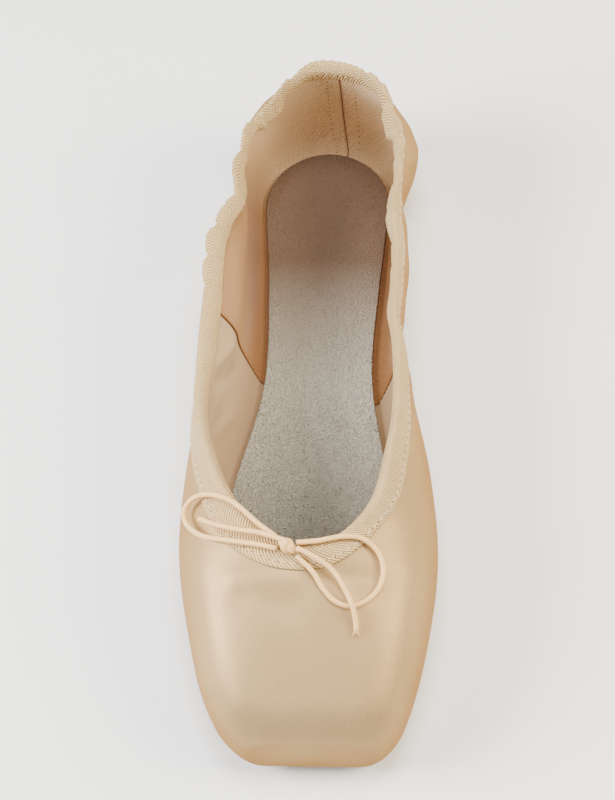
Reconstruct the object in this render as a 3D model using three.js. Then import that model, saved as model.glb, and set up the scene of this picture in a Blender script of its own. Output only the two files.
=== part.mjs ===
// Pointe shoe: one satin shoe with a stiff box, standing empty and unbent on its sole.
// Millimetres, +Z up, toe towards -Y, heel towards +Y.
import * as THREE from "three";

// Driving sizes
const LENGTH = 234;
const BALL_WIDTH = 81;
const INSTEP = 58;
const HEEL_HEIGHT = 52.5;
const HALF_BALL = BALL_WIDTH / 2;

// Gap between pieces that touch
const GAP = 0.3;

// Sole, insole and the lie of the bottom, measured along the foot from the toe
const SOLE_THICK = 3;
const SOLE_MARGIN = 0.5;
const SOLE_FRONT = 26;
const SOLE_BACK = 224;
const SOLE_ROUND = 16;
const SOLE_BEVEL = 0.8;
const INSOLE_THICK = 1.7;
const INSOLE_FRONT = 16;
const INSOLE_ROUND = 12;
const INSOLE_BEVEL = 0.4;
const SEAT = SOLE_THICK + GAP;
const CORNER_LEAST = 4;
const ARCH = { front: 95, back: 185, rise: 4 };
const TOE_SPRING = { back: 45, rise: 2 };

// Platform at the tip: how far its edge rounds back along the foot, the share of the width and
// of the height above and below that the rounding takes, and how far its face leans back
const EDGE = 9;
const EDGE_WIDE = 0.23;
const EDGE_HIGH = 0.5;
const EDGE_LOW = 0.2;
const LEAN = 0.1;
const LEAN_REACH = 50;

// Throat: where the opening starts, how far back it widens, and how round it is
const THROAT = 53.7;
const THROAT_REACH = 73;
const THROAT_POWER = 2.5;

// Opening under the foot, inside the lasting margin that the sole covers
const UNDER_FRONT = 40;
const UNDER_ROUND = 16;
const UNDER_SHARE = 0.62;

// Sections of the last from toe to heel. From "heel" on they swing about the heel's centre,
// turn degrees from straight across to straight back. along is a share of LENGTH, widest and
// crown of INSTEP, collar of HEEL_HEIGHT; round is the power of the upper curve; wall is in
// millimetres; the rest are shares of half the ball width.
const COLUMNS = [
  "along", "turn", "half", "widest", "crown", "round", "foot",
  "insole", "collar", "flareLeft", "flareRight", "sway", "wall",
];
const SECTIONS = {
  face: [0, 0, 0.595, 0.215, 0.475, 2.9, 0.44, 0.3, 0.8, 0, 0, 0.062, 2.8],
  cap: [0.06, 0, 0.76, 0.24, 0.58, 2.9, 0.56, 0.42, 0.8, 0, 0, 0.032, 2.6],
  wing: [0.162, 0, 0.915, 0.26, 0.725, 2.7, 0.63, 0.62, 0.8, 0, 0, 0.016, 2.2],
  ball: [0.274, 0, 1, 0.275, 0.83, 2.4, 0.7, 0.69, 0.78, 0, 0, -0.002, 1.9],
  throat: [0.385, 0, 0.96, 0.295, 0.895, 2.25, 0.655, 0.64, 0.765, 0.055, -0.07, -0.014, 1.8],
  waist: [0.555, 0, 0.732, 0.36, 1.22, 2.2, 0.475, 0.445, 0.77, 0.2, -0.02, 0.02, 1.8],
  quarter: [0.725, 0, 0.702, 0.38, 1.82, 2.2, 0.49, 0.47, 0.8, 0.16, -0.066, 0.037, 1.8],
  heel: [0.872, 0, 0.74, 0.36, 1.71, 2.2, 0.545, 0.53, 0.88, -0.12, -0.105, 0.044, 1.8],
  counter: [0.872, 45, 0.825, 0.345, 1.615, 2.2, 0.545, 0.53, 0.965, -0.2, -0.12, 0.044, 1.8],
  back: [0.872, 90, 0.753, 0.33, 1.565, 2.2, 0.545, 0.53, 0.985, -0.03, -0.03, 0.044, 1.8],
};
const UNITS = {
  along: LENGTH, turn: Math.PI / 180, half: HALF_BALL, widest: INSTEP, crown: INSTEP, round: 1,
  foot: HALF_BALL, insole: HALF_BALL, collar: HEEL_HEIGHT, flareLeft: HALF_BALL,
  flareRight: HALF_BALL, sway: HALF_BALL, wall: 1,
};

// Binding tape: a fold over the collar edge, as rows round its section. lap is the distance
// below the edge, face is the side of the wall, lift is the distance off that side.
const BINDING = [
  { lap: 6.5, face: "out", lift: GAP },
  { lap: 6.5, face: "out", lift: 0.75 },
  { lap: 5.2, face: "out", lift: 0.9 },
  { lap: 2, face: "out", lift: 0.95 },
  { lap: 0.3, face: "out", lift: 0.9 },
  { lap: -0.8, face: "out", lift: 0.45 },
  { lap: -1.1, face: "mid", lift: 0 },
  { lap: -0.8, face: "in", lift: 0.45 },
  { lap: 0.3, face: "in", lift: 0.9 },
  { lap: 2, face: "in", lift: 0.95 },
  { lap: 4.4, face: "in", lift: 0.9 },
  { lap: 5.4, face: "in", lift: 0.75 },
  { lap: 5.4, face: "in", lift: GAP },
  { lap: 2.6, face: "in", lift: GAP },
  { lap: -GAP, face: "in", lift: GAP },
  { lap: -GAP, face: "out", lift: GAP },
  { lap: 3.2, face: "out", lift: GAP },
];

// Drawstring bow: rows of across, along and the height of the cord's middle above the vamp
const CORD = 1.6;
const CORD_STEP = 2.6 * CORD;
const KNOT = { across: -4.3, along: 53.1, lift: 3.2, turn: -35, long: 4.8 };
const BOW = {
  drawstring_loop_left: [
    [-6.6, 55.4, 2.3], [-13.3, 60.5, 2.4], [-21.6, 68.2, 2.6], [-28.6, 71.8, 3.2],
    [-34.2, 72.4, 4.6], [-37.3, 69.6, 6], [-36.2, 65, 5.6], [-31.2, 59.6, 3.8],
    [-21.6, 56.2, 2.2], [-13, 54.2, 2.1], [-7.4, 52.8, 2.2],
  ],
  drawstring_loop_right: [
    [-1.7, 54.4, 2.5], [5, 55, 2.5], [11.8, 56.5, 2.4], [17.6, 56.6, 2.3],
    [22.3, 53.6, 2.1], [24.2, 48.3, 2], [23, 43, 1.4], [19.5, 39.1, 1.1],
    [14.6, 36.9, 1.1], [9.8, 38.2, 1.1], [6.2, 41.8, 1.4], [3.4, 46, 2], [-1.4, 50.6, 2.1],
  ],
  drawstring_tail_left: [
    [-7, 55, 4.2], [-12, 56.8, 4], [-20.3, 59.1, 3.4], [-26.5, 61.8, 3], [-32.4, 65.6, 3.2],
  ],
  drawstring_tail_right: [
    [-1.4, 52.1, 4.2], [4.4, 49.4, 4], [9.6, 45.8, 3.3], [13, 40.8, 3],
    [15.2, 36.2, 3], [16.2, 32.2, 1.6], [16.3, 29.8, 1.1],
  ],
};

// Mesh fineness
const EDGE_STEPS = 4;
const FLAT_ROWS = 3;
const CORNER_ROWS = 5;
const SIDE_ROWS = 10;
const ROWS = FLAT_ROWS + CORNER_ROWS + SIDE_ROWS;
const HEEL_STEPS = 9;
const END_TURNS = [20, 35, 50, 65, 80];
const CORD_SIDES = 8;

const HEEL_AT = SECTIONS.heel[0] * LENGTH;
const HEEL_RADIUS = LENGTH - HEEL_AT;
const RUN_END = HEEL_AT + (HEEL_RADIUS * Math.PI) / 2;
const LEFT = -1;
const RIGHT = 1;

function clamp(value, low, high) {
  return Math.min(Math.max(value, low), high);
}

// The table's columns in real sizes, against the run: the way along the foot and round the heel
function columnsByRun() {
  const rows = Object.values(SECTIONS);
  const columns = {};
  COLUMNS.forEach((name, index) => {
    columns[name] = rows.map((row) => row[index] * UNITS[name]);
  });
  columns.run = columns.along.map((along, i) => along + HEEL_RADIUS * columns.turn[i]);
  return columns;
}

// Slopes of a smooth curve through the rows, level at the back of the heel
function slopesOf(run, values) {
  const last = run.length - 1;
  const rise = (i) => (values[i + 1] - values[i]) / (run[i + 1] - run[i]);
  return values.map((_, i) => {
    if (i === 0) return rise(0);
    if (i === last) return 0;
    const before = run[i] - run[i - 1];
    const after = run[i + 1] - run[i];
    return (rise(i - 1) * after + rise(i) * before) / (before + after);
  });
}

const TABLE = columnsByRun();
const SLOPES = Object.fromEntries(COLUMNS.map((name) => [name, slopesOf(TABLE.run, TABLE[name])]));

function floorAt(run) {
  let height = SEAT;
  if (run > ARCH.front && run < ARCH.back) {
    const share = (run - ARCH.front) / (ARCH.back - ARCH.front);
    height += ARCH.rise * Math.sin(Math.PI * share) ** 2;
  }
  if (run < TOE_SPRING.back) {
    height += TOE_SPRING.rise * (1 - run / TOE_SPRING.back) ** 2;
  }
  return height;
}

function sectionAt(run) {
  const at = clamp(run, 0, RUN_END);
  let i = 0;
  while (i < TABLE.run.length - 2 && at > TABLE.run[i + 1]) i += 1;
  const span = TABLE.run[i + 1] - TABLE.run[i];
  const t = (at - TABLE.run[i]) / span;
  const section = {};
  for (const name of COLUMNS) {
    const values = TABLE[name];
    const slopes = SLOPES[name];
    section[name] =
      (2 * t ** 3 - 3 * t ** 2 + 1) * values[i] +
      (t ** 3 - 2 * t ** 2 + t) * span * slopes[i] +
      (3 * t ** 2 - 2 * t ** 3) * values[i + 1] +
      (t ** 3 - t ** 2) * span * slopes[i + 1];
  }
  section.along = Math.min(run, HEEL_AT);
  section.turn = Math.max(0, run - HEEL_AT) / HEEL_RADIUS;
  section.floor = floorAt(run);
  return section;
}

// Distance from a section's middle to its outline: a rounded arch above the widest line,
// a flat bottom with rounded corners below it
function outlineRadius(section, angle, inset) {
  const half = section.half - inset;
  const across = Math.cos(angle);
  const up = Math.sin(angle);
  if (angle >= 0) {
    const high = section.crown - section.widest - inset;
    const power = section.round;
    return ((Math.abs(across) / half) ** power + (up / high) ** power) ** (-1 / power);
  }
  const deep = section.widest - section.floor - inset;
  const flat = Math.min(section.foot, half - CORNER_LEAST);
  const corner = half - flat;
  if (deep * across <= flat * -up) return deep / -up;
  const a = (across / corner) ** 2 + (up / deep) ** 2;
  const b = (flat * across) / corner ** 2;
  const c = (flat / corner) ** 2 - 1;
  return (b + Math.sqrt(Math.max(0, b * b - a * c))) / a;
}

// A point of the shoe's surface, inset millimetres under the satin
function skin(run, angle, side, inset = 0) {
  const section = sectionAt(run);
  let radius = outlineRadius(section, angle, inset);
  const edge = EDGE - inset;
  const depth = clamp((run - inset) / edge, 0, 1);
  const upright = angle > 0 ? EDGE_HIGH : EDGE_LOW;
  const rounding = EDGE_WIDE * Math.cos(angle) ** 2 + upright * Math.sin(angle) ** 2;
  radius *= 1 - rounding * (1 - Math.sqrt(1 - (1 - depth) ** 2));
  const z = section.widest + radius * Math.sin(angle);
  let out = radius * Math.cos(angle);
  const rise = clamp((z - section.widest) / (section.collar - section.widest), 0, 1.2);
  const flare = side === LEFT ? section.flareLeft : section.flareRight;
  out += flare * (out / section.half) * rise * rise * (1.5 - 0.5 * rise);
  const lean = LEAN * Math.max(0, 1 - run / LEAN_REACH) * (z - section.widest);
  return new THREE.Vector3(
    section.sway + side * out * Math.cos(section.turn),
    section.along + out * Math.sin(section.turn) + lean,
    z,
  );
}

// Angle at which a section's outer line reaches the collar, straight up before the throat
function collarAngle(run) {
  if (run <= THROAT) return Math.PI / 2;
  const section = sectionAt(run);
  const height = section.collar - section.widest;
  const share = height / (section.crown - section.widest);
  const out = section.half * (1 - share ** section.round) ** (1 / section.round);
  const opened = Math.min((run - THROAT) / THROAT_REACH, 1);
  const spread = (1 - (1 - opened) ** THROAT_POWER) ** (1 / THROAT_POWER);
  return Math.PI / 2 - (Math.PI / 2 - Math.atan2(height, out)) * spread;
}

// Angle of the lower edge, straight down before the opening under the foot
function underAngle(run) {
  if (run <= UNDER_FRONT) return -Math.PI / 2;
  const section = sectionAt(run);
  const opened = Math.min((run - UNDER_FRONT) / UNDER_ROUND, 1);
  const width = UNDER_SHARE * section.foot * Math.sqrt(1 - (1 - opened) ** 2);
  return -Math.atan2(section.widest - section.floor, width);
}

// Collects points and faces of one closed surface
class Surface {
  constructor() {
    this.points = [];
    this.faces = [];
  }

  add(point) {
    this.points.push(point.x, point.y, point.z);
    return this.points.length / 3 - 1;
  }

  face(a, b, c) {
    this.faces.push(a, b, c);
  }

  quad(a, b, c, d) {
    this.face(a, b, c);
    this.face(a, c, d);
  }

  // Joins rings of points into a tube, round each ring and from each ring to the next
  loft(rings, closed) {
    const rows = rings.map((ring) => ring.map((point) => this.add(point)));
    const count = closed ? rows.length : rows.length - 1;
    for (let i = 0; i < count; i += 1) {
      const here = rows[i];
      const next = rows[(i + 1) % rows.length];
      here.forEach((corner, j) => {
        const k = (j + 1) % here.length;
        this.quad(corner, here[k], next[k], next[j]);
      });
    }
    if (!closed) {
      this.cap(rows[0].slice().reverse());
      this.cap(rows[rows.length - 1]);
    }
  }

  cap(ring) {
    for (let i = 1; i < ring.length - 1; i += 1) this.face(ring[0], ring[i], ring[i + 1]);
  }

  geometry() {
    const geometry = new THREE.BufferGeometry();
    geometry.setAttribute("position", new THREE.Float32BufferAttribute(this.points, 3));
    geometry.setIndex(this.faces);
    geometry.computeVertexNormals();
    return geometry;
  }
}

// Numbers from one value to another, the first left out, crowded to the start by the power
function spaced(from, to, count, power = 1) {
  return Array.from({ length: count }, (_, i) => from + (to - from) * ((i + 1) / count) ** power);
}

// Runs of the upper's sections behind the rounded edge of the platform
const VAMP_RUNS = [
  ...spaced(EDGE, UNDER_FRONT, 4),
  ...spaced(UNDER_FRONT, THROAT, 5, 1.7),
];
const COLLAR_RUNS = [
  ...spaced(THROAT, THROAT + THROAT_REACH, 14, 2),
  ...spaced(THROAT + THROAT_REACH, HEEL_AT, 11),
  ...spaced(HEEL_AT, RUN_END, HEEL_STEPS),
];

// Runs of one layer: the platform's edge turns in a quarter circle under the layer's inset
function layerRuns(insetAt) {
  const start = insetAt(0);
  const edgeRuns = Array.from({ length: EDGE_STEPS + 1 }, (_, i) => {
    const turn = (i / EDGE_STEPS) * (Math.PI / 2);
    return start + (EDGE - start) * (1 - Math.cos(turn));
  });
  return [...edgeRuns, ...VAMP_RUNS, ...COLLAR_RUNS];
}

// Angle at which a layer's flat bottom ends and its corner starts to rise
function cornerAngle(section, inset) {
  return -Math.atan2(section.widest - section.floor - inset, section.foot);
}

// Angles of one section's rows: over the flat bottom, round its corner to the widest line,
// then up to the collar or the crown
function rowAngles(run, inset) {
  const low = underAngle(run);
  const bend = cornerAngle(sectionAt(run), inset);
  return [
    low,
    ...spaced(low, bend, FLAT_ROWS),
    ...spaced(bend, 0, CORNER_ROWS),
    ...spaced(0, collarAngle(run), SIDE_ROWS),
  ];
}

// Points of one layer of the upper, for each side, section and row from the sole to the top
function layerPoints(surface, insetAt) {
  const runs = layerRuns(insetAt);
  return [LEFT, RIGHT].map((side) =>
    runs.map((run) => {
      const inset = insetAt(run);
      return rowAngles(run, inset).map((angle) => surface.add(skin(run, angle, side, inset)));
    }),
  );
}

// One layer's faces, its two sides and the flat face of the platform
function layerFaces(surface, sides, outward) {
  sides.forEach((grid, index) => {
    const flip = (index === 0) === outward;
    for (let i = 0; i < grid.length - 1; i += 1) {
      for (let j = 0; j < ROWS; j += 1) {
        const square = [grid[i][j], grid[i + 1][j], grid[i + 1][j + 1], grid[i][j + 1]];
        if (flip) square.reverse();
        surface.quad(...square);
      }
    }
  });
  const [left, right] = sides.map((grid) => grid[0]);
  for (let j = 0; j < ROWS; j += 1) {
    const square = [left[j], right[j], right[j + 1], left[j + 1]];
    if (!outward) square.reverse();
    surface.quad(...square);
  }
}

// Narrow faces that close the wall along the collar and round the opening underneath
function rimFaces(surface, outer, inner, row, firstRun, upward) {
  outer.forEach((grid, index) => {
    const flip = (index === 0) === upward;
    for (let i = firstRun; i < grid.length - 1; i += 1) {
      const square = [
        grid[i][row], grid[i + 1][row], inner[index][i + 1][row], inner[index][i][row],
      ];
      if (flip) square.reverse();
      surface.quad(...square);
    }
  });
}

function upperGeometry() {
  const surface = new Surface();
  const outer = layerPoints(surface, () => 0);
  const inner = layerPoints(surface, (run) => sectionAt(run).wall);
  layerFaces(surface, outer, true);
  layerFaces(surface, inner, false);
  const runs = layerRuns(() => 0);
  rimFaces(surface, outer, inner, ROWS, runs.indexOf(THROAT), true);
  rimFaces(surface, outer, inner, 0, runs.indexOf(UNDER_FRONT), false);
  return surface.geometry();
}

// Places along the collar: from the throat back along the left side and home along the right
function collarPlaces() {
  const place = (run, side) => ({ run, side, angle: collarAngle(run) });
  const left = COLLAR_RUNS.map((run) => place(run, LEFT));
  const right = COLLAR_RUNS.slice(0, -1).map((run) => place(run, RIGHT));
  return [place(THROAT, LEFT), ...left, ...right.reverse()];
}

function skinAt(place, inset = 0) {
  return skin(place.run, place.angle, place.side, inset);
}

// Moves a place over the surface, square to the collar, by a distance away from its edge
function slide(place, along, distance) {
  const nudge = 0.001;
  const steps = Math.max(1, Math.ceil(Math.abs(distance)));
  let here = { ...place };
  for (let i = 0; i < steps; i += 1) {
    const point = skinAt(here);
    const byRun = skinAt({ ...here, run: here.run + nudge }).sub(point).divideScalar(nudge);
    const byAngle = skinAt({ ...here, angle: here.angle + nudge }).sub(point).divideScalar(nudge);
    const normal = byRun.clone().cross(byAngle).multiplyScalar(-here.side);
    const away = along.clone().cross(normal).normalize().multiplyScalar(distance / steps);
    const rr = byRun.dot(byRun);
    const ra = byRun.dot(byAngle);
    const aa = byAngle.dot(byAngle);
    const det = rr * aa - ra * ra;
    here = {
      side: here.side,
      run: here.run + (away.dot(byRun) * aa - away.dot(byAngle) * ra) / det,
      angle: here.angle + (away.dot(byAngle) * rr - away.dot(byRun) * ra) / det,
    };
  }
  return here;
}

function bindingGeometry() {
  const places = collarPlaces();
  const count = places.length;
  const rings = places.map((place, i) => {
    const before = skinAt(places[(i + count - 1) % count]);
    const along = skinAt(places[(i + 1) % count]).sub(before);
    const wall = sectionAt(place.run).wall;
    const depth = { out: 0, mid: wall / 2, in: wall };
    return BINDING.map((row) => {
      const lift = row.face === "out" ? -row.lift : row.lift;
      return skinAt(slide(place, along, row.lap), depth[row.face] + lift);
    });
  });
  const surface = new Surface();
  surface.loft(rings, true);
  return surface.geometry();
}

// A flat piece along the foot with round ends: its half width, underside and top at each run
function slabGeometry({ front, back, frontRound, backRound, middle, half, low, high, bevels }) {
  const endTurns = END_TURNS.map((turn) => THREE.MathUtils.degToRad(turn));
  const stations = [
    ...endTurns.map((turn) => ({
      run: front + frontRound * (1 - Math.cos(turn)), share: Math.sin(turn),
    })),
    ...middle.map((run) => ({ run, share: 1 })),
    ...endTurns.reverse().map((turn) => ({
      run: back - backRound * (1 - Math.cos(turn)), share: Math.sin(turn),
    })),
  ];
  const rings = stations.map(({ run, share }) => {
    const width = half(run) * share;
    const corners = [
      [width - bevels.low, low(run)], [width, low(run) + bevels.low],
      [width, high(run) - bevels.high], [width - bevels.high, high(run)],
    ];
    const mirrored = corners.map(([x, z]) => [-x, z]).reverse();
    const sway = sectionAt(run).sway;
    return [...corners, ...mirrored].map(([x, z]) => new THREE.Vector3(sway + x, run, z));
  });
  const surface = new Surface();
  surface.loft(rings.reverse(), false);
  return surface.geometry();
}

const TREAD_RUNS = [TOE_SPRING.back, ...spaced(TOE_SPRING.back, ARCH.front, 3)];
const ARCH_RUNS = spaced(ARCH.front, ARCH.back, 12);

function outsoleGeometry() {
  return slabGeometry({
    front: SOLE_FRONT,
    back: SOLE_BACK,
    frontRound: SOLE_ROUND,
    backRound: SOLE_ROUND,
    middle: [SOLE_FRONT + SOLE_ROUND, ...TREAD_RUNS, ...ARCH_RUNS, SOLE_BACK - SOLE_ROUND],
    half: (run) => sectionAt(Math.min(run, HEEL_AT)).foot - SOLE_MARGIN,
    low: (run) => floorAt(run) - SEAT,
    high: (run) => floorAt(run) - GAP,
    bevels: { low: SOLE_BEVEL, high: 0 },
  });
}

function insoleGeometry() {
  const heelHalf = sectionAt(HEEL_AT).insole;
  const seat = (run) => floorAt(run) + sectionAt(run).wall + GAP;
  return slabGeometry({
    front: INSOLE_FRONT,
    back: HEEL_AT + heelHalf,
    frontRound: INSOLE_ROUND,
    backRound: heelHalf,
    middle: [INSOLE_FRONT + INSOLE_ROUND, ...TREAD_RUNS, ...ARCH_RUNS, HEEL_AT],
    half: (run) => sectionAt(Math.min(run, HEEL_AT)).insole,
    low: seat,
    high: (run) => seat(run) + INSOLE_THICK,
    bevels: { low: INSOLE_BEVEL, high: INSOLE_BEVEL },
  });
}

// A point above the vamp, also where the throat is open
function overVamp([across, along, lift]) {
  const section = sectionAt(along);
  const share = Math.abs(across - section.sway) / section.half;
  const arch = (1 - share ** section.round) ** (1 / section.round);
  const top = section.widest + (section.crown - section.widest) * arch;
  return new THREE.Vector3(across, along, top + lift);
}

function cordGeometry(route) {
  const path = new THREE.CatmullRomCurve3(route.map(overVamp), false, "centripetal");
  const corners = Array.from({ length: CORD_SIDES }, (_, i) => {
    const turn = (i / CORD_SIDES) * 2 * Math.PI;
    return new THREE.Vector2(Math.cos(turn), Math.sin(turn)).multiplyScalar(CORD / 2);
  });
  return new THREE.ExtrudeGeometry(new THREE.Shape(corners), {
    steps: Math.round(path.getLength() / CORD_STEP),
    extrudePath: path,
    bevelEnabled: false,
  });
}

// The knot: one turn of the cord round the crossing, as a barrel with a full middle
function knotMesh(material) {
  const end = KNOT.long / 2;
  const profile = [
    [0, -end], [0.8, -end], [1.3, -end + 0.5], [1.4, -1.2], [1.85, -0.6],
    [1.95, 0], [1.85, 0.6], [1.4, 1.2], [1.3, end - 0.5], [0.8, end], [0, end],
  ].map(([x, y]) => new THREE.Vector2(x, y));
  const knot = new THREE.Mesh(new THREE.LatheGeometry(profile, 12), material);
  knot.position.copy(overVamp([KNOT.across, KNOT.along, KNOT.lift]));
  knot.rotation.z = THREE.MathUtils.degToRad(90 + KNOT.turn);
  return knot;
}

function finish(color, roughness) {
  return new THREE.MeshStandardMaterial({ color, roughness, metalness: 0 });
}

const satin = finish(0xd9c3a6, 0.42);
const tape = finish(0xead6b8, 0.75);
const leather = finish(0xb99b78, 0.8);
const board = finish(0xa5a091, 0.85);
const string = finish(0xf0dfc2, 0.6);

const shoe = new THREE.Group();

function place(name, mesh) {
  mesh.name = name;
  shoe.add(mesh);
}

place("upper", new THREE.Mesh(upperGeometry(), satin));
place("binding", new THREE.Mesh(bindingGeometry(), tape));
place("outsole", new THREE.Mesh(outsoleGeometry(), leather));
place("insole", new THREE.Mesh(insoleGeometry(), board));

// The origin lies on the floor under the middle of the shoe
const middle = new THREE.Box3().setFromObject(shoe).getCenter(new THREE.Vector3());
shoe.position.set(-middle.x, -middle.y, 0);

place("drawstring_knot", knotMesh(string));
for (const [name, route] of Object.entries(BOW)) {
  place(name, new THREE.Mesh(cordGeometry(route), string));
}

export default shoe;
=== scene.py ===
"""Pointe shoe: the satin upper, twill binding, insole, sole and drawstring bow, dressed over the CAD frame.

Metres, but where a table says millimetres. The shoe's own frame has the toe tip at y = 0 and the heel
towards +Y; place() moves its points to the part's frame.
"""
import math
from types import SimpleNamespace

import bmesh
import bpy
import numpy as np
from mathutils import Matrix, Vector


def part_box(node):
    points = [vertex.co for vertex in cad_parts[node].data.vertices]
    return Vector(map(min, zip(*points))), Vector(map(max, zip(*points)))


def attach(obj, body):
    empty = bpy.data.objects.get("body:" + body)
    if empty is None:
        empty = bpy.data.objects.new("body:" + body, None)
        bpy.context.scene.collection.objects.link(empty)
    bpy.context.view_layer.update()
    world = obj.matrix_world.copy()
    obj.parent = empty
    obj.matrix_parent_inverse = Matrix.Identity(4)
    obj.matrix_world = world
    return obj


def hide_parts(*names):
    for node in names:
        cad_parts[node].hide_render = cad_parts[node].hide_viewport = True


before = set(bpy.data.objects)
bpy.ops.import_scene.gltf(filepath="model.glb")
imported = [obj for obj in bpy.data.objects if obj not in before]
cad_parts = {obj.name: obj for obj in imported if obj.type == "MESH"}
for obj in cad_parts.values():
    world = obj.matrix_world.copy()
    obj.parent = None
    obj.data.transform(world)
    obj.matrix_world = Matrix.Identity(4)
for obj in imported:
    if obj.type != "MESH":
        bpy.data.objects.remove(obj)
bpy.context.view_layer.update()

MM = 0.001

# Driving sizes of the last
LENGTH = 0.234
BALL_WIDTH = 0.081
INSTEP = 0.058
HEEL_HEIGHT = 0.0525
HALF_BALL = BALL_WIDTH / 2
GAP = 0.0003

# Sole, insole and the lie of the bottom, measured along the foot from the toe
SOLE_THICK = 0.003
SOLE_MARGIN = 0.0005
SOLE_FRONT = 0.026
SOLE_BACK = 0.224
SOLE_ROUND = 0.016
SOLE_EDGE = 0.0008
INSOLE_THICK = 0.0017
INSOLE_FRONT = 0.016
INSOLE_ROUND = 0.012
INSOLE_EDGE = 0.0005
SEAT = SOLE_THICK + GAP
CORNER_LEAST = 0.004
ARCH = {"front": 0.095, "back": 0.185, "rise": 0.004}
TOE_SPRING = {"back": 0.045, "rise": 0.002}

# Platform at the tip, throat, and the opening under the foot
EDGE = 0.009
EDGE_WIDE = 0.23
EDGE_HIGH = 0.5
EDGE_LOW = 0.2
LEAN = 0.1
LEAN_REACH = 0.05
FLARE_RISE_MOST = 1.2
THROAT = 0.0537
THROAT_REACH = 0.073
THROAT_END = THROAT + THROAT_REACH
THROAT_POWER = 2.5
UNDER_FRONT = 0.04
UNDER_ROUND = 0.016
UNDER_SHARE = 0.62

# Sections of the last from toe to heel, as in the part's source
COLUMNS = (
    "along", "turn", "half", "widest", "crown", "round", "foot",
    "insole", "collar", "flare_left", "flare_right", "sway", "wall",
)
SECTIONS = {
    "face": (0, 0, 0.595, 0.215, 0.475, 2.9, 0.44, 0.3, 0.8, 0, 0, 0.062, 2.8),
    "cap": (0.06, 0, 0.76, 0.24, 0.58, 2.9, 0.56, 0.42, 0.8, 0, 0, 0.032, 2.6),
    "wing": (0.162, 0, 0.915, 0.26, 0.725, 2.7, 0.63, 0.62, 0.8, 0, 0, 0.016, 2.2),
    "ball": (0.274, 0, 1, 0.275, 0.83, 2.4, 0.7, 0.69, 0.78, 0, 0, -0.002, 1.9),
    "throat": (0.385, 0, 0.96, 0.295, 0.895, 2.25, 0.655, 0.64, 0.765, 0.055, -0.07, -0.014, 1.8),
    "waist": (0.555, 0, 0.732, 0.36, 1.22, 2.2, 0.475, 0.445, 0.77, 0.2, -0.02, 0.02, 1.8),
    "quarter": (0.725, 0, 0.702, 0.38, 1.82, 2.2, 0.49, 0.47, 0.8, 0.16, -0.066, 0.037, 1.8),
    "heel": (0.872, 0, 0.74, 0.36, 1.71, 2.2, 0.545, 0.53, 0.88, -0.12, -0.105, 0.044, 1.8),
    "counter": (0.872, 45, 0.825, 0.345, 1.615, 2.2, 0.545, 0.53, 0.965, -0.2, -0.12, 0.044, 1.8),
    "back": (0.872, 90, 0.753, 0.33, 1.565, 2.2, 0.545, 0.53, 0.985, -0.03, -0.03, 0.044, 1.8),
}
UNITS = {
    "along": LENGTH, "turn": math.pi / 180, "half": HALF_BALL, "widest": INSTEP, "crown": INSTEP,
    "round": 1, "foot": HALF_BALL, "insole": HALF_BALL, "collar": HEEL_HEIGHT,
    "flare_left": HALF_BALL, "flare_right": HALF_BALL, "sway": HALF_BALL, "wall": MM,
}
HEEL_AT = SECTIONS["heel"][0] * LENGTH
HEEL_RADIUS = LENGTH - HEEL_AT
RUN_END = HEEL_AT + HEEL_RADIUS * math.pi / 2
LEFT = -1
RIGHT = 1

# Binding tape: rows round its section as lap below the collar edge, side of the wall and lift off it
FOLD_ROWS = (
    (0.0032, 0.00092), (0.0019, 0.00102), (0.0009, 0.00108), (0.0001, 0.00098), (-0.0006, 0.0007),
    (-0.00105, 0.0002),
)
OUTER_HEM = ((0.0064, 0.0002), (0.0066, 0.00045), (0.0065, 0.0007), (0.0058, 0.00085), (0.0046, 0.0009))
INNER_HEM = ((0.0046, 0.00085), (0.0053, 0.0007), (0.0055, 0.00045), (0.0053, 0.0002))
BINDING = (
    *((lap, "out", lift) for lap, lift in OUTER_HEM + FOLD_ROWS), (-0.0012, "mid", 0),
    *((lap, "in", lift) for lap, lift in FOLD_ROWS[::-1] + INNER_HEM),
    (0.0026, "in", GAP), (-GAP, "in", GAP), (-GAP, "out", GAP), (0.0032, "out", GAP),
)
SPINE_ROW = len(OUTER_HEM + FOLD_ROWS)

# Drawstring bow, its routes as across, along and height of the cord's middle over the vamp in millimetres
CORD = 0.0016
KNOT = {"across": -0.0043, "along": 0.0531, "lift": 0.0032, "turn": -35}
BOW = {
    "drawstring_loop_left": (
        (-6.6, 55.4, 2.3), (-13.3, 60.5, 2.4), (-21.6, 68.2, 2.6), (-28.6, 71.8, 3.2), (-34.2, 72.4, 4.6),
        (-37.3, 69.6, 6), (-36.2, 65, 5.6), (-31.2, 59.6, 3.8), (-21.6, 56.2, 2.2), (-13, 54.2, 2.1),
        (-7.4, 52.8, 2.2),
    ),
    "drawstring_loop_right": (
        (-1.7, 54.4, 2.5), (5, 55, 2.5), (11.8, 56.5, 2.4), (17.6, 56.6, 2.3), (22.3, 53.6, 2.1),
        (24.2, 48.3, 2), (23, 43, 1.4), (19.5, 39.1, 1.1), (14.6, 36.9, 1.1), (9.8, 38.2, 1.1),
        (6.2, 41.8, 1.4), (3.4, 46, 2), (-1.4, 50.6, 2.1),
    ),
    "drawstring_tail_left": (
        (-4.6, 54.2, 4.2), (-7, 55, 4.2), (-12, 56.8, 4), (-20.3, 59.1, 3.4), (-26.5, 61.8, 3),
        (-32.4, 65.6, 3.2),
    ),
    "drawstring_tail_right": (
        (-1.4, 52.1, 4.2), (4.4, 49.4, 4), (9.6, 45.8, 3.3), (13, 40.8, 3), (15.2, 36.2, 3),
        (16.2, 32.2, 1.6), (16.3, 29.8, 1.1),
    ),
}

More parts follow.
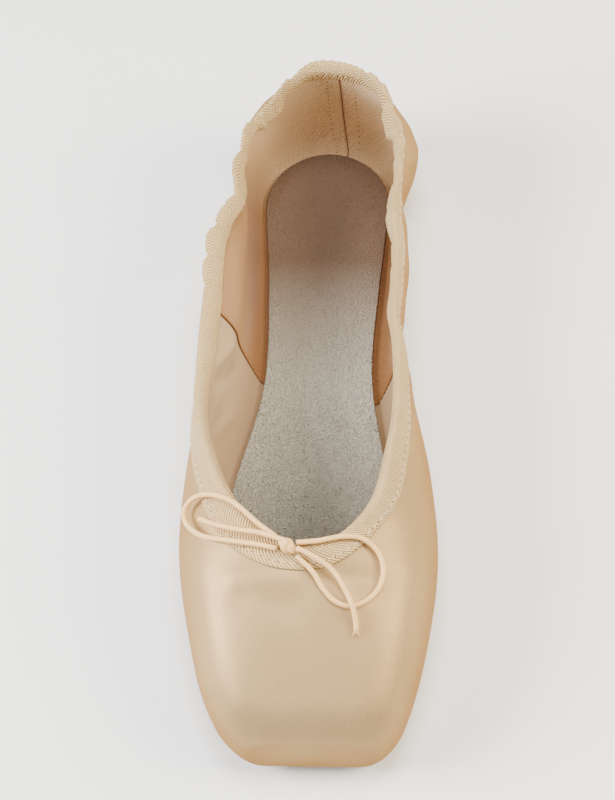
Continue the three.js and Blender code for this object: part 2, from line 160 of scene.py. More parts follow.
# Camera of the photograph, in the shoe's own frame, turned sideways so that the one shoe is in the middle
CAMERA_AT = (0.041, -0.2062, 0.6062)
CAMERA_DOWN = 61
FRAME_HEIGHT = 800
FOCAL_PIXELS = 2070
SENSOR = 36
CLIP_START = 0.01
SHOE_PIXELS_LEFT_OF_MIDDLE = 132.5


# The last's surface


def chain(*parts):
    return np.concatenate(parts)


def smooth_slopes(run, values):
    """Slopes of a smooth curve through a column, level at the back of the heel."""
    rise = np.diff(values) / np.diff(run)
    gap = np.diff(run)
    inner = (rise[:-1] * gap[1:] + rise[1:] * gap[:-1]) / (gap[1:] + gap[:-1])
    return chain([rise[0]], inner, [0])


ROWS = np.array(list(SECTIONS.values()), float)
TABLE = {name: ROWS[:, i] * UNITS[name] for i, name in enumerate(COLUMNS)}
RUNS = TABLE["along"] + HEEL_RADIUS * TABLE["turn"]
SLOPES = {name: smooth_slopes(RUNS, TABLE[name]) for name in COLUMNS}


def floor_at(run):
    share = np.clip((run - ARCH["front"]) / (ARCH["back"] - ARCH["front"]), 0, 1)
    spring = np.maximum(0, 1 - run / TOE_SPRING["back"])
    return SEAT + ARCH["rise"] * np.sin(np.pi * share) ** 2 + TOE_SPRING["rise"] * spring**2


def sections_at(run):
    """Sizes of the last's section at each run, the way along the foot and round the heel."""
    run = np.asarray(run, float)
    at = np.clip(run, 0, RUN_END)
    i = np.clip(np.searchsorted(RUNS, at) - 1, 0, len(RUNS) - 2)
    span = RUNS[i + 1] - RUNS[i]
    t = (at - RUNS[i]) / span
    section = {}
    for name in COLUMNS:
        values = TABLE[name]
        slopes = SLOPES[name]
        section[name] = (
            (2 * t**3 - 3 * t**2 + 1) * values[i]
            + (t**3 - 2 * t**2 + t) * span * slopes[i]
            + (3 * t**2 - 2 * t**3) * values[i + 1]
            + (t**3 - t**2) * span * slopes[i + 1]
        )
    section["along"] = np.minimum(run, HEEL_AT)
    section["turn"] = np.maximum(run - HEEL_AT, 0) / HEEL_RADIUS
    section["floor"] = floor_at(run)
    return SimpleNamespace(**section)


def outline_radius(section, angle, inset):
    """Distance from a section's middle to its outline: an arch above the widest line, a flat bottom
    with rounded corners below it."""
    half = section.half - inset
    across = np.cos(angle)
    up = np.sin(angle)
    power = section.round
    high = section.crown - section.widest - inset
    arch = ((np.abs(across) / half) ** power + (np.maximum(up, 0) / high) ** power) ** (-1 / power)
    deep = section.widest - section.floor - inset
    flat = np.minimum(section.foot, half - CORNER_LEAST)
    corner = half - flat
    a = (across / corner) ** 2 + (up / deep) ** 2
    b = flat * across / corner**2
    c = (flat / corner) ** 2 - 1
    rounded = (b + np.sqrt(np.maximum(0, b * b - a * c))) / a
    level = deep / np.maximum(-up, 1e-9)
    bottom = np.where(deep * across <= flat * -up, level, rounded)
    return np.where(angle >= 0, arch, bottom)


def skin(run, angle, side, inset=0):
    """Points of the shoe's surface, inset metres under the satin."""
    run, angle, side, inset = np.broadcast_arrays(run, angle, side, inset)
    section = sections_at(run)
    radius = outline_radius(section, angle, inset)
    depth = np.clip((run - inset) / np.maximum(EDGE - inset, 1e-6), 0, 1)
    upright = np.where(angle > 0, EDGE_HIGH, EDGE_LOW)
    rounding = EDGE_WIDE * np.cos(angle) ** 2 + upright * np.sin(angle) ** 2
    radius = radius * (1 - rounding * (1 - np.sqrt(1 - (1 - depth) ** 2)))
    z = section.widest + radius * np.sin(angle)
    out = radius * np.cos(angle)
    rise = np.clip((z - section.widest) / (section.collar - section.widest), 0, FLARE_RISE_MOST)
    flare = np.where(side < 0, section.flare_left, section.flare_right)
    out = out + flare * (out / section.half) * rise**2 * (1.5 - 0.5 * rise)
    lean = LEAN * np.maximum(0, 1 - run / LEAN_REACH) * (z - section.widest)
    x = section.sway + side * out * np.cos(section.turn)
    y = section.along + out * np.sin(section.turn) + lean
    return np.stack([x, y, z], axis=-1)


def collar_angle(run):
    """Angle at which a section's outer line reaches the collar, straight up before the throat."""
    section = sections_at(run)
    height = section.collar - section.widest
    share = np.clip(height / (section.crown - section.widest), 0, 1)
    out = section.half * (1 - share ** section.round) ** (1 / section.round)
    opened = np.clip((run - THROAT) / THROAT_REACH, 0, 1)
    spread = (1 - (1 - opened) ** THROAT_POWER) ** (1 / THROAT_POWER)
    return np.pi / 2 - (np.pi / 2 - np.arctan2(height, out)) * spread


def under_angle(run):
    """Angle of the lower edge, straight down before the opening under the foot."""
    section = sections_at(run)
    opened = np.clip((run - UNDER_FRONT) / UNDER_ROUND, 0, 1)
    width = UNDER_SHARE * section.foot * np.sqrt(1 - (1 - opened) ** 2)
    return -np.arctan2(section.widest - section.floor, width)


def over_vamp(route):
    """Points above the vamp, also where the throat is open."""
    across, along, lift = np.array(route, float).T
    section = sections_at(along)
    share = np.abs(across - section.sway) / section.half
    arch = (1 - share ** section.round) ** (1 / section.round)
    top = section.widest + (section.crown - section.widest) * arch
    return np.stack([across, along, top + lift], axis=-1)


KNOT_BOX = np.array(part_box("drawstring_knot"), float)
SHIFT = np.append(KNOT_BOX.mean(axis=0)[:2] - (KNOT["across"], KNOT["along"]), 0)


def place(points):
    """Points of the shoe's own frame, in the part's frame."""
    return np.asarray(points) + SHIFT


# Creases: soft troughs (negative height) and ridges along short lines on the surface. Each row is a side,
# run and angle of one end and of the other, reach and height, in millimetres and degrees.
FOLDS = (
    # Slack of the right quarter, pushed out and in along the side
    (RIGHT, 210, 41, 217, 41, 4.8, -3.0),
    (RIGHT, 189, 40, 201, 41, 5.0, 2.4),
    (RIGHT, 172, 36, 180, 37, 5.0, -1.4),
    (RIGHT, 211, 14, 226, 4, 10.0, 1.9),
    (RIGHT, 207.8, 31, 210, 18, 3.8, 0.8),
    (RIGHT, 218.8, 33, 217, 18, 3.0, -0.9),
    (RIGHT, 203, 30, 203, 12, 3.0, -0.9),
    (RIGHT, 196, -14, 193, 18, 8.0, -2.6),
    (RIGHT, 167, -12, 166, 34, 8.0, 0.9),
    (RIGHT, 139, -10, 141, 32, 6.5, -1.5),
    (RIGHT, 124.5, -4, 124, 24, 6.0, 0.6),
    # The left quarter lies fuller, most of all beside the heel
    (LEFT, 216, 41, 226, 42, 4.6, -4.0),
    (LEFT, 226, 42, 238, 46, 4.4, -1.8),
    (LEFT, 195, 41, 208, 42, 5.2, 2.2),
    (LEFT, 180, 37, 186, 38, 4.0, -0.8),
    (LEFT, 186, 6, 182, 36, 8.0, -0.8),
    (LEFT, 150, 0, 146, 28, 9.0, -0.6),
    (LEFT, 124.5, 26, 135, 12, 2.8, -0.9),
    (LEFT, 121.5, 14, 130, -4, 3.2, 0.8),
    (LEFT, 110, -10, 118, -18, 2.6, -0.7),
    # Pull lines on the vamp under the bow
    (LEFT, 45, 52, 44, 80, 4.0, 0.6),
    (LEFT, 39.5, 56, 37, 80, 4.5, -0.5),
    (RIGHT, 45, 74, 45.5, 54, 4.2, -0.8),
    (RIGHT, 39, 72, 38, 58, 5.0, 0.5),
    # Edges of the box's wings, down the vamp to the platform's corners
    (LEFT, 50, 36, 12, 41, 6.0, 0.5),
    (RIGHT, 50, 34, 12, 38, 7.0, 0.5),
)

# Puffs of the tape between the places where the string draws it in: for each side the runs of the
# pinches, and how far each puff between them stands out and in, in millimetres
PINCHES = {
    LEFT: (0.1495, 0.1605, 0.1720, 0.1840, 0.1985, 0.2105, 0.2155, 0.2230, 0.2300, 0.2370),
    RIGHT: (0.1580, 0.1660, 0.1785, 0.1875, 0.1960, 0.2025, 0.2090, 0.2200, 0.2270, 0.2340),
}
PUFFS = {
    LEFT: (
        (0.2, 0.1), (0.4, 0.15), (0.55, 0.2), (0.5, 0.6), (0.9, 0.8), (0.4, 0.5), (0.5, 0.5), (0.4, 0.4),
        (0.3, 0.3),
    ),
    RIGHT: (
        (0.2, 0.2), (0.5, 0.6), (0.8, 0.6), (0.6, 0.5), (0.6, 0.6), (0.9, 0.5), (0.6, 1.0), (0.5, 0.5),
        (0.3, 0.3),
    ),
}
PUFF_ROUND = 0.8
PUFF_SKEW = 1.9
# The tape swells to a fuller roll beside the heel: runs where that starts, is full, fades and ends
ROLL = {"start": 0.19, "full": 0.214, "fade": 0.222, "end": 0.238, "out": 0.0006, "in": 0.0005}
PINCH_DEPTH = 0.0003
PINCH_REACH = 0.0012
GATHER_LENGTH = 0.4
GATHER_TROUGH = {"reach": 0.0026, "height": -0.0006}
GATHER_RIDGE = {"reach": 0.0036, "height": 0.0004}

# Pleats of the satin under the toe, fanned in to the front of the sole
PLEATS = 15
PLEAT_SEED = 11
PLEAT_FAN = 78
PLEAT_MIDDLE = 0.040
PLEAT_NEAR = 0.013
PLEAT_FAR = 0.034
PLEAT_REACH = 0.0011
PLEAT_HEIGHT = -0.0009
PLEAT_JITTER = {"turn": (-0.2, 0.2), "far": (0.85, 1.1), "height": (0.7, 1.2)}

# Seams: run at the collar and at the sole, and the groove that a seam makes. A seam keeps its lower run
# up to the level, a share of the wall, and then bends quickly to its upper run.
SIDE_SEAMS = {LEFT: {"top": 0.1416, "bottom": 0.1314}, RIGHT: {"top": 0.1363, "bottom": 0.1236}}
BACK_SEAM = {"top": 0.2456, "bottom": 0.2425}
SEAM_LEVEL = 0.194
SEAM_BEND = 6.2
SEAM_REACH = 0.0008
SEAM_DEPTH = 0.0005
SEAM_LOWEST = -0.9


def table_folds():
    for side, run, angle, end_run, end_angle, reach, height in FOLDS:
        start = skin(run * MM, math.radians(angle), side)
        end = skin(end_run * MM, math.radians(end_angle), side)
        yield start, end, reach * MM, height * MM


def heel_gathers():
    """Troughs down from the pinches and ridges between them."""
    for side, pinches in PINCHES.items():
        for before, run, (out, _) in zip(pinches, pinches[1:], PUFFS[side]):
            strength = min(1, out)
            low = float(collar_angle(run)) - GATHER_LENGTH * strength
            for at, shape in ((run, GATHER_TROUGH), ((before + run) / 2, GATHER_RIDGE)):
                start = skin(at, float(collar_angle(at)), side)
                yield start, skin(at, low, side), shape["reach"], strength * shape["height"]


def eased(values, start, end):
    """0 up to start, 1 from end on, and a smooth step between them."""
    t = np.clip((values - start) / (end - start), 0, 1)
    return t * t * (3 - 2 * t)


def tape_puffs(run, side):
    """How far the tape stands out and in at each place, in metres, and how near it is to a pinch."""
    roll = eased(run, ROLL["start"], ROLL["full"]) - eased(run, ROLL["fade"], ROLL["end"])
    out = ROLL["out"] * roll
    inward = ROLL["in"] * roll
    pinched = np.zeros(np.shape(run))
    for one, pinches in PINCHES.items():
        for before, after, (far_out, far_in) in zip(pinches, pinches[1:], PUFFS[one]):
            share = np.clip((run - before) / (after - before), 0, 1)
            swell = np.where(side == one, np.sin(np.pi * share**PUFF_SKEW) ** PUFF_ROUND, 0) * MM
            out += far_out * swell
            inward += far_in * swell
        for at in pinches:
            near = np.exp(-(((run - at) / PINCH_REACH) ** 2))
            pinched = np.maximum(pinched, np.where(side == one, near, 0))
    return out, inward, pinched


def toe_pleats():
    rng = np.random.default_rng(PLEAT_SEED)
    for i in range(PLEATS):
        share = (i + rng.uniform(*PLEAT_JITTER["turn"])) / (PLEATS - 1)
        turn = math.radians(PLEAT_FAN * (2 * share - 1))
        ends = []
        for distance in (PLEAT_NEAR, PLEAT_FAR * rng.uniform(*PLEAT_JITTER["far"])):
            along = PLEAT_MIDDLE - distance * math.cos(turn)
            sway = float(sections_at(along).sway)
            ends.append(np.array([sway + distance * math.sin(turn), along, float(floor_at(along))]))
        yield *ends, PLEAT_REACH, PLEAT_HEIGHT * rng.uniform(*PLEAT_JITTER["height"])


def seam_run(seam, angle, run):
    """Run of a seam at an angle, for a point near run."""
    low = under_angle(run)
    share = np.clip((angle - low) / (collar_angle(run) - low), 0, 1)
    share = 1 - (1 - np.clip((share - SEAM_LEVEL) / (1 - SEAM_LEVEL), 0, 1)) ** SEAM_BEND
    return seam["bottom"] + (seam["top"] - seam["bottom"]) * share


ALL_FOLDS = [*table_folds(), *heel_gathers(), *toe_pleats()]


def fold_height(points):
    """How far the folds move the surface outwards at each point."""
    height = np.zeros(points.shape[:-1])
    for start, end, reach, rise in ALL_FOLDS:
        line = end - start
        from_start = points - start
        share = np.clip(from_start @ line / (line @ line), 0, 1)
        away = np.linalg.norm(from_start - share[..., None] * line, axis=-1)
        height += rise * np.exp(-((away / reach) ** 2))
    return height


def seam_height(run, angle, side):
    """Groove of the side and back seams: 1 on the seam, falling off beside it."""
    height = np.zeros(run.shape)
    for one, seam in ((LEFT, SIDE_SEAMS[LEFT]), (RIGHT, SIDE_SEAMS[RIGHT]), (RIGHT, BACK_SEAM)):
        near = np.exp(-(((run - seam_run(seam, angle, run)) / SEAM_REACH) ** 2))
        height = np.maximum(height, np.where((side == one) & (angle > SEAM_LOWEST), near, 0))
    return height


def creased(run, angle, side, inset=0, seam=0):
    """Points of the creased surface; seam is how far a seam's groove moves it."""
    run, angle, side, inset = np.broadcast_arrays(run, angle, side, inset)
    rise = fold_height(skin(run, angle, side)) + seam * seam_height(run, angle, side)
    return skin(run, angle, side, inset - rise)


# Meshes


def add_object(name, data):
    thing = bpy.data.objects.new(name, data)
    bpy.context.scene.collection.objects.link(thing)
    return thing


def new_object(name, points, faces, uvs=None, materials=(), face_materials=None):
    """A smooth mesh object of points in the shoe's own frame, riding on the shoe."""
    mesh = bpy.data.meshes.new(name)
    mesh.from_pydata(place(points).tolist(), [], [list(face) for face in faces])
    if uvs is not None:
        loops = np.empty(len(mesh.loops), np.int32)
        mesh.loops.foreach_get("vertex_index", loops)
        layer = mesh.uv_layers.new(name="UVMap")
        layer.data.foreach_set("uv", np.asarray(uvs, np.float32)[loops].ravel())
    for material in materials:
        mesh.materials.append(material)
    if face_materials is not None:
        mesh.polygons.foreach_set("material_index", np.asarray(face_materials, np.int32))
    mesh.shade_smooth()
    piece = add_object(name, mesh)
    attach(piece, "root")
    return piece


def grid_quads(index):
    """Quads of a grid of vertex numbers."""
    return np.stack([index[:-1, :-1], index[1:, :-1], index[1:, 1:], index[:-1, 1:]], axis=-1).reshape(-1, 4)


def ring_quads(index):
    """Quads of rings of vertex numbers, each ring closed on itself."""
    return grid_quads(np.concatenate([index, index[:, :1]], axis=1))


def numbered(rows, columns, start=0):
    """A grid of vertex numbers."""
    return start + np.arange(rows * columns).reshape(rows, columns)


def looped(rows):
    """Rows with the first one again after the last."""
    return chain(rows, rows[:1])


def unit(vectors):
    return vectors / np.linalg.norm(vectors, axis=-1, keepdims=True)


def spaced(start, end, count, power=1):
    """Numbers from start to end, the first left out, crowded to the start by the power."""
    return start + (end - start) * (np.arange(1, count + 1) / count) ** power


# Materials


def colour(red, green, blue):
    """A linear colour from the 0 to 255 values that a screen shows."""
    shares = np.array([red, green, blue]) / 255
    linear = np.where(shares <= 0.04045, shares / 12.92, ((shares + 0.055) / 1.055) ** 2.4)
    return (*linear.tolist(), 1)


class Look:
    """A material, its base colour, and short ways to add nodes to it."""

    def __init__(self, name, **inputs):
        self.material = bpy.data.materials.new(name)
        self.material.use_nodes = True
        self.tree = self.material.node_tree
        self.surface = self.tree.nodes["Principled BSDF"]
        self.base = None
        self.fill(self.surface, inputs)

    def fill(self, node, inputs):
        for key, value in inputs.items():
            socket = node.inputs[key if isinstance(key, int) else key.replace("_", " ")]
            if isinstance(value, bpy.types.NodeSocket):
                self.tree.links.new(value, socket)
            else:
                socket.default_value = value

    def add(self, kind, inputs=None, **settings):
        node = self.tree.nodes.new(f"ShaderNode{kind}")
        for key, value in settings.items():
            setattr(node, key, value)
        self.fill(node, inputs or {})
        return node

    def place(self, scale=(1, 1, 1), source="Object", turn=0):
        """Coordinates on the surface, turned by degrees and then scaled."""
        inputs = {"Vector": self.add("TexCoord").outputs[source], "Rotation": (0, 0, math.radians(turn))}
        turned = self.add("Mapping", inputs).outputs["Vector"]
        return self.add("VectorMath", {0: turned, 1: scale}, operation="MULTIPLY").outputs["Vector"]

    def split(self, vector):
        return self.add("SeparateXYZ", {"Vector": vector}).outputs

    def uv(self, turn=0):
        return self.split(self.place(source="UV", turn=turn))

    def facing_up(self):
        return self.split(self.add("NewGeometry").outputs["Normal"])["Z"]

    def noise(self, where, scale, detail=2.0, roughness=0.5):
        inputs = {"Vector": where, "Scale": scale, "Detail": detail, "Roughness": roughness}
        return self.add("TexNoise", inputs).outputs["Fac"]

    def math(self, operation, *values):
        return self.add("Math", dict(enumerate(values)), operation=operation).outputs["Value"]

    def wave(self, value, pitch):
        return self.math("SINE", self.math("MULTIPLY", value, 2 * math.pi / pitch))

    def spread(self, value, low, high, to_low=0.0, to_high=1.0):
        inputs = {"Value": value, 1: low, 2: high, 3: to_low, 4: to_high}
        return self.add("MapRange", inputs, clamp=True).outputs["Result"]

    def low_down(self, start, end, most):
        """Share of shade towards the sole, from the distance round the wall that the UVs hold."""
        return self.spread(self.math("ABSOLUTE", self.uv()["X"]), start, end, 0.0, most)

    def mix(self, factor, first, second):
        return self.add("Mix", {0: factor, 6: first, 7: second}, data_type="RGBA").outputs[2]

    def cloud(self, first, second, scale, detail, low=0.3, high=0.7):
        """Starts the base colour: two colours in slow clouds."""
        slow = self.noise(self.place(), scale, detail)
        self.base = self.mix(self.spread(slow, low, high), first, second)

    def tint(self, factor, shade):
        """Mixes one more colour into the base."""
        self.base = self.mix(factor, self.base, shade)

    def bump(self, height, distance, strength=1.0, below=None):
        inputs = {"Height": height, "Distance": distance, "Strength": strength}
        if below is not None:
            inputs["Normal"] = below
        return self.add("Bump", inputs).outputs["Normal"]

    def done(self, **inputs):
        """The material with its base colour and, where it has one, its relief."""
        self.fill(self.surface, {"Base Color": self.base, **inputs})
        return self.material


SATIN_LIGHT = (0.452, 0.314, 0.154, 1)
SATIN_DEEP = (0.422, 0.288, 0.137, 1)
# Darker warm tone: the satin's own threads, and the painted shade low on its sides towards the sole
SATIN_THREAD_AND_SHADE = (0.24, 0.118, 0.036, 1)
SATIN_GLOSS = (0.7, 0.28, 0.1, 1)
SATIN_SLANT = 34
TWILL_SLANT = 62
TWILL_PITCH = 0.0009
PLAIN_PITCH = 0.0007
TAPE_PITCH = {"rib": 0.00105, "cross": 0.00095}
BRAID_PITCH = 0.0012
BRAID_STRANDS = 6


def satin_material():
    """Peach satin: fine floats, a soft broad gloss of the cloth's own colour, faint unevenness, painted
    shade low down.
    """
    look = Look("satin", Roughness=0.5, Metallic=0.45, Specular_IOR_Level=0.0, Specular_Tint=SATIN_GLOSS)
    threads = look.noise(look.place((1200, 3200, 1), "UV", SATIN_SLANT), 1.0, 3.0)
    floats = look.noise(look.place((420, 2000, 1), "UV", SATIN_SLANT), 1.0, 2.0)
    look.cloud(SATIN_LIGHT, SATIN_DEEP, 38.0, 2.0, 0.35, 0.65)
    look.tint(look.spread(threads, 0.35, 0.65, 0.0, 0.12), SATIN_THREAD_AND_SHADE)
    look.tint(look.spread(floats, 0.35, 0.65, 0.0, 0.18), SATIN_THREAD_AND_SHADE)
    # Painted shade: the satin darkens to a warm brown low on both sides, towards the sole
    look.tint(look.low_down(0.046, 0.066, 0.24), SATIN_THREAD_AND_SHADE)
    return look.done(Normal=look.bump(threads, 0.00005, 0.45))


def twill_lining_material():
    """Cotton twill behind the side seams: fine slanted ribs, warm tan, browner beside the heel, painted
    shade low down.
    """
    look = Look("twill_lining", Roughness=0.85, Sheen_Weight=0.15, Specular_IOR_Level=0.2)
    rib = look.wave(look.uv(TWILL_SLANT)["X"], TWILL_PITCH)
    run = look.uv()["Y"]
    fuzz = look.noise(look.place(), 900.0, 3.0)
    # Painted shade low down the wall towards the insole, weaker towards the back of the heel
    shade = look.low_down(0.064, 0.084, 0.85)
    shade = look.math("MULTIPLY", shade, look.spread(run, 0.185, 0.225, 1.0, 0.4))
    look.cloud(colour(243, 212, 167), colour(236, 204, 158), 55.0, 3.0)
    look.tint(look.spread(rib, -1, 1, 0.0, 0.2), colour(176, 136, 96))
    look.tint(look.spread(run, 0.2, 0.226, 0.85, 0.0), colour(160, 110, 56))
    look.tint(shade, colour(112, 70, 36))
    relief = look.bump(rib, 0.00022, 0.6)
    return look.done(Normal=look.bump(fuzz, 0.00015, 0.3, relief))


def plain_lining_material():
    """Smooth cotton in front of the side seams: a close plain weave, beige, with painted shade low down."""
    look = Look("plain_lining", Roughness=0.8, Sheen_Weight=0.15, Specular_IOR_Level=0.2)
    warp, weft = [look.wave(look.uv()[axis], PLAIN_PITCH) for axis in "XY"]
    look.cloud(colour(188, 160, 122), colour(178, 150, 114), 60.0, 3.0)
    # Painted shade low down the wall towards the insole
    look.tint(look.low_down(0.064, 0.084, 0.7), colour(118, 90, 62))
    return look.done(Normal=look.bump(look.math("MULTIPLY", warp, weft), 0.00012, 0.4))


def tape_material():
    """Herringbone twill tape: woven slanted ribs that meet along the fold, cream."""
    look = Look("binding_tape", Roughness=0.7, Sheen_Weight=0.12, Specular_IOR_Level=0.25)
    look.fill(look.surface, {"Sheen Tint": colour(255, 248, 236)})
    where = look.uv()
    aside = look.math("ABSOLUTE", where["Y"])
    slant = look.math("ADD", where["X"], aside)
    back = look.math("SUBTRACT", where["X"], look.math("MULTIPLY", aside, 1.4))
    cross = look.wave(back, TAPE_PITCH["cross"])
    weave = look.math("MULTIPLY_ADD", cross, 0.6, look.wave(slant, TAPE_PITCH["rib"]))
    fuzz = look.noise(look.place(), 1400.0, 3.0)
    look.cloud(colour(252, 222, 160), colour(247, 212, 148), 70.0, 2.0)
    look.tint(look.spread(weave, -1.3, 0.2, 0.9, 0.0), colour(168, 112, 58))
    relief = look.bump(weave, 0.0003, 0.9)
    return look.done(Normal=look.bump(fuzz, 0.0002, 0.3, relief))


def board_material():
    """Pressed insole board with a pebbled grain; browner heel and edges, part dirt, part painted shade;
    painted toe shadow.
    """
    look = Look("insole_board", Roughness=0.72, Specular_IOR_Level=0.3)
    where = look.place()
    cells = look.add(
        "TexVoronoi", {"Vector": where, "Scale": 1450.0, "Smoothness": 0.4}, feature="SMOOTH_F1",
        voronoi_dimensions="2D",
    ).outputs["Distance"]
    pits = look.noise(where, 1250.0, 4.0, 0.6)
    along = look.split(where)["Y"]
    look.cloud(colour(184, 178, 162), colour(174, 168, 152), 45.0, 4.0)
    # Browner towards the heel: part dirt, part painted shade deep in the heel cup
    look.tint(look.spread(along, 0.016, 0.064, 0.0, 0.92), colour(102, 75, 54))
    # Painted shadow towards the toe, under the vamp
    look.tint(look.spread(along, -0.015, -0.06, 0.0, 0.6), colour(112, 105, 90))
    look.tint(look.spread(pits, 0.35, 0.55, 0.24, 0.0), colour(96, 86, 70))
    # Dark reddish edges where the board does not face up: part glue, part painted shade in the gap to the
    # wall
    look.tint(look.spread(look.facing_up(), 0.35, 0.9, 1.0, 0.0), colour(96, 48, 22))
    look.tint(look.spread(cells, 0.3, 0.7, 0.0, 0.12), colour(92, 82, 66))
    pebbles = look.spread(cells, 0.0, 0.8, 1.0, 0.0)
    relief = look.bump(pebbles, 0.0008, look.spread(along, 0.0, 0.06, 0.9, 0.6))
    return look.done(Normal=look.bump(pits, 0.0009, look.spread(along, 0.0, 0.06, 0.9, 0.8), relief))


def leather_material():
    """Buffed sole leather: fine nap, cloudy tan, darker rubbed edge."""
    look = Look("sole_leather", Roughness=0.75, Specular_IOR_Level=0.3)
    nap = look.noise(look.place(), 1100.0, 4.0)
    streak = look.noise(look.place((260, 26, 90)), 1.0, 3.0)
    look.cloud(colour(196, 160, 120), colour(174, 136, 97), 30.0, 5.0)
    look.tint(look.spread(streak, 0.45, 0.75, 0.0, 0.3), colour(212, 182, 146))
    look.tint(look.spread(look.facing_up(), -0.75, -0.2, 0.0, 0.7), colour(132, 92, 60))
    return look.done(Normal=look.bump(nap, 0.0003, 0.4))


def cord_material():
    """Round woven cord: short slanted ribs both ways, cream with a slight gloss."""
    look = Look("cord", Roughness=0.5, Sheen_Weight=0.1, Specular_IOR_Level=0.35)
    where = look.uv()
    along = look.math("MULTIPLY", where["X"], 2 * math.pi / BRAID_PITCH)
    around = look.math("MULTIPLY", where["Y"], 2 * math.pi * BRAID_STRANDS)
    ways = [look.math("SINE", look.math(way, along, around)) for way in ("ADD", "SUBTRACT")]
    braid = look.math("MAXIMUM", *ways)
    look.base = look.mix(look.spread(braid, -0.6, 0.8), colour(226, 174, 104), colour(246, 202, 134))
    return look.done(Normal=look.bump(braid, 0.00008, 0.5))


def thread_material():
    """Sewing thread: two plies twisted, pale."""
    look = Look("thread", Roughness=0.55, Sheen_Weight=0.2)
    twist = look.noise(look.place(), 2600.0, 2.0)
    look.base = look.mix(look.spread(twist, 0.35, 0.65), colour(236, 210, 176), colour(212, 178, 138))
    return look.done(Normal=look.bump(twist, 0.0001, 0.4))


def needle_hole_material():
    """Painted shade of a needle hole or a sunken seam."""
    look = Look("needle_hole", Roughness=0.95, Specular_IOR_Level=0.1)
    rough = look.noise(look.place(), 2200.0, 2.0)
    look.base = look.mix(rough, colour(132, 90, 56), colour(104, 68, 40))
    return look.done()


def floor_material():
    """Plain pale studio floor with a barely uneven finish."""
    look = Look("studio_floor", Roughness=0.6, Specular_IOR_Level=0.2)
    look.cloud(colour(247, 247, 247), colour(245, 245, 246), 6.0, 2.0)
    return look.done()


# Camera, light and floor


def make_camera():
    """The photograph's camera, turned sideways on its own upright axis to the one shoe."""
    down = math.radians(CAMERA_DOWN)
    ahead = Vector((0, math.cos(down), -math.sin(down)))
    upright = Vector((0, math.sin(down), math.cos(down)))
    ahead = (ahead - Vector((SHOE_PIXELS_LEFT_OF_MIDDLE / FOCAL_PIXELS, 0, 0))).normalized()
    right = ahead.cross(upright).normalized()
    upright = right.cross(ahead)
    data = bpy.data.cameras.new("camera")
    data.sensor_width = SENSOR
    data.lens = FOCAL_PIXELS * SENSOR / FRAME_HEIGHT
    data.clip_start = CLIP_START
    camera = add_object("camera", data)
    turn = Matrix((right, upright, -ahead)).transposed().to_4x4()
    camera.matrix_world = Matrix.Translation(Vector(place(CAMERA_AT))) @ turn
    bpy.context.scene.camera = camera


WHITE = (1, 1, 1)
LIGHT_AIM = (0, 0, 0.02)
# Place, size, power and tint of each soft box
LIGHTS = {
    "left_box": ((-0.7, -0.1, 0.5), 0.4, 19.0, WHITE),
    "right_box": ((0.62, -0.05, 0.55), 0.4, 12.0, (1, 0.89, 0.66)),
    "overhead": ((0.05, 0.15, 1.0), 0.4, 11.5, WHITE),
    "front_box": ((0.05, -0.6, 0.8), 0.5, 2.0, WHITE),
}
WORLD_LIGHT = 0.05
FLOOR_HALF = 3.0


def make_studio():
    for name, (at, size, power, tint) in LIGHTS.items():
        data = bpy.data.lights.new(name, "AREA")
        data.shape = "SQUARE"
        data.size = size
        data.energy = power
        data.color = tint
        light = add_object(name, data)
        light.location = at
        light.rotation_euler = (Vector(LIGHT_AIM) - Vector(at)).to_track_quat("-Z", "Y").to_euler()
    world = bpy.data.worlds.new("studio")
    world.use_nodes = True
    background = world.node_tree.nodes["Background"]
    background.inputs["Color"].default_value = (*WHITE, 1)
    background.inputs["Strength"].default_value = WORLD_LIGHT
    bpy.context.scene.world = world
    mesh = bpy.data.meshes.new("floor")
    corners = [(x * FLOOR_HALF, y * FLOOR_HALF, 0) for x, y in ((-1, -1), (1, -1), (1, 1), (-1, 1))]
    mesh.from_pydata(corners, [], [(0, 1, 2, 3)])
    mesh.materials.append(floor_material())
    floor = add_object("floor", mesh)


# Drawstring bow

CORD_STEP = 0.0006
CORD_SIDES = 14
CORD_END = {"reach": 0.0006, "least": 0.25}
CURVE_STEPS = 40
FRAY = {
    "seed": 3, "fibres": 9, "points": 7, "sides": 6, "back": 0.0008, "aside": 0.0005, "flat": 0.6,
    "lift": 0.0003, "reach": (0.0014, 0.0026), "bend": (0.25, 0.7), "radii": (0.00022, 0.0001),
}
KNOT_COILS = ((-0.0014, 0.0006, 0.0008), (0, 0.0013, 0.00105), (0.0014, 0.0006, 0.0008))
KNOT_SLANT = 0.0008
KNOT_STEPS = 40


def way_along(path):
    """Distance along a path from its start to each of its points."""
    return chain([0], np.cumsum(np.linalg.norm(np.diff(path, axis=0), axis=1)))


def points_along(path, way, marks):
    """Points of a path at marks of the way along it."""
    return np.stack([np.interp(marks, way, path[:, axis]) for axis in range(3)], axis=-1)


def between(t, start, end, first, last):
    return ((end - t) * first + (t - start) * last) / (end - start)


def smooth_path(points, step=CORD_STEP):
    """Centripetal curve through the points, at even steps."""
    ends = chain([2 * points[0] - points[1]], points, [2 * points[-1] - points[-2]])
    knots = chain([0], np.cumsum(np.linalg.norm(np.diff(ends, axis=0), axis=1) ** 0.5))
    fine = []
    for i in range(1, len(ends) - 2):
        t = np.linspace(knots[i], knots[i + 1], CURVE_STEPS, endpoint=False)[:, None]
        k = knots[i - 1 : i + 3]
        p = ends[i - 1 : i + 3]
        a = [between(t, k[j], k[j + 1], p[j], p[j + 1]) for j in range(3)]
        b = [between(t, k[j], k[j + 2], a[j], a[j + 1]) for j in range(2)]
        fine.append(between(t, k[1], k[2], *b))
    fine = chain(*fine, points[-1:])
    way = way_along(fine)
    return points_along(fine, way, np.linspace(0, way[-1], max(2, round(way[-1] / step)) + 1))


